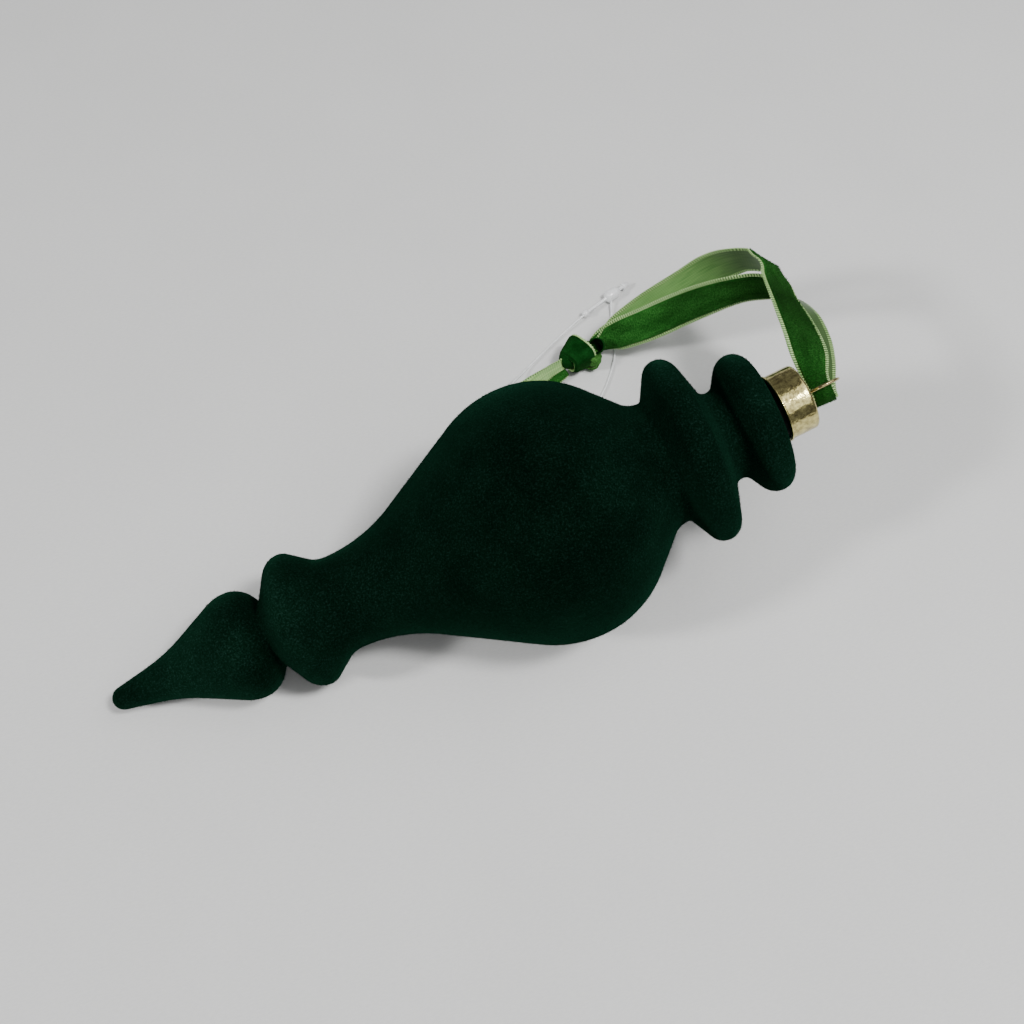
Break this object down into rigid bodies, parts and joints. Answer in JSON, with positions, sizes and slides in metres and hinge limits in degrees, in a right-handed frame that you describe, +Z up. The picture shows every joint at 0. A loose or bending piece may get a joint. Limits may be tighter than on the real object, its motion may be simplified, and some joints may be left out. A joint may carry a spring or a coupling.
{
  "type": "finial ornament",
  "caption": "Finial-shaped hanging ornament in dark green flock, with turned beads and discs, a gold cap, a wire eye, a knotted green velvet ribbon loop and a clear tag loop",
  "frame": {"origin": "On the table under the middle of the bounding box of the shell, coat, cap and wire, as the ornament lies on its drop and its bulb", "axes": "+X runs from the point towards the cap, +Y to the side on which the ribbon lies, +Z up from the table; the ornament's own axis rises 13.2 degrees from +X, and the cap leans 3 degrees to +Y"},
  "size_m": [0.1871, 0.1074, 0.0604],
  "materials": {
    "shell_plastic": "bare dark moulded plastic, seen only at the neck",
    "green_flock": "dense short flock, matte and very dark, lighter at grazing angles",
    "gold_cap": "plated thin sheet with hazy reflections",
    "gold_wire": "plated spring wire",
    "velvet_ribbon": "single-face velvet pile with ribbed shiny selvedges and a lighter satin back",
    "clear_nylon": "clear moulded nylon"
  },
  "bodies": {
    "ornament": {"blown_shell": "shell_plastic", "flock_coat": "green_flock"},
    "cap": {"hanger_cap": "gold_cap"},
    "hanger": {"hanger_wire": "gold_wire"},
    "ribbon": {"ribbon_loop": "velvet_ribbon", "ribbon_knot": "velvet_ribbon", "ribbon_tails": "velvet_ribbon", "tag_thread": "clear_nylon", "tag_lock": "clear_nylon"}
  },
  "joints": [
    {"name": "cap_pull", "type": "slide", "parent": "ornament", "child": "cap", "axis": [0.9722, 0.0523, 0.2282], "range_m": [0, 0.015]},
    {"name": "hanger_swivel", "type": "hinge", "parent": "cap", "child": "hanger", "pos_m": [0.07999, 0.00125, 0.04471], "axis": [0.9722, 0.0523, 0.2282], "continuous": true},
    {"name": "ribbon_swing", "type": "hinge", "parent": "hanger", "child": "ribbon", "pos_m": [0.08526, 0.0031, 0.04241], "axis": [0.9722, 0.0523, 0.2282], "range_deg": [-10, 45]}
  ]
}
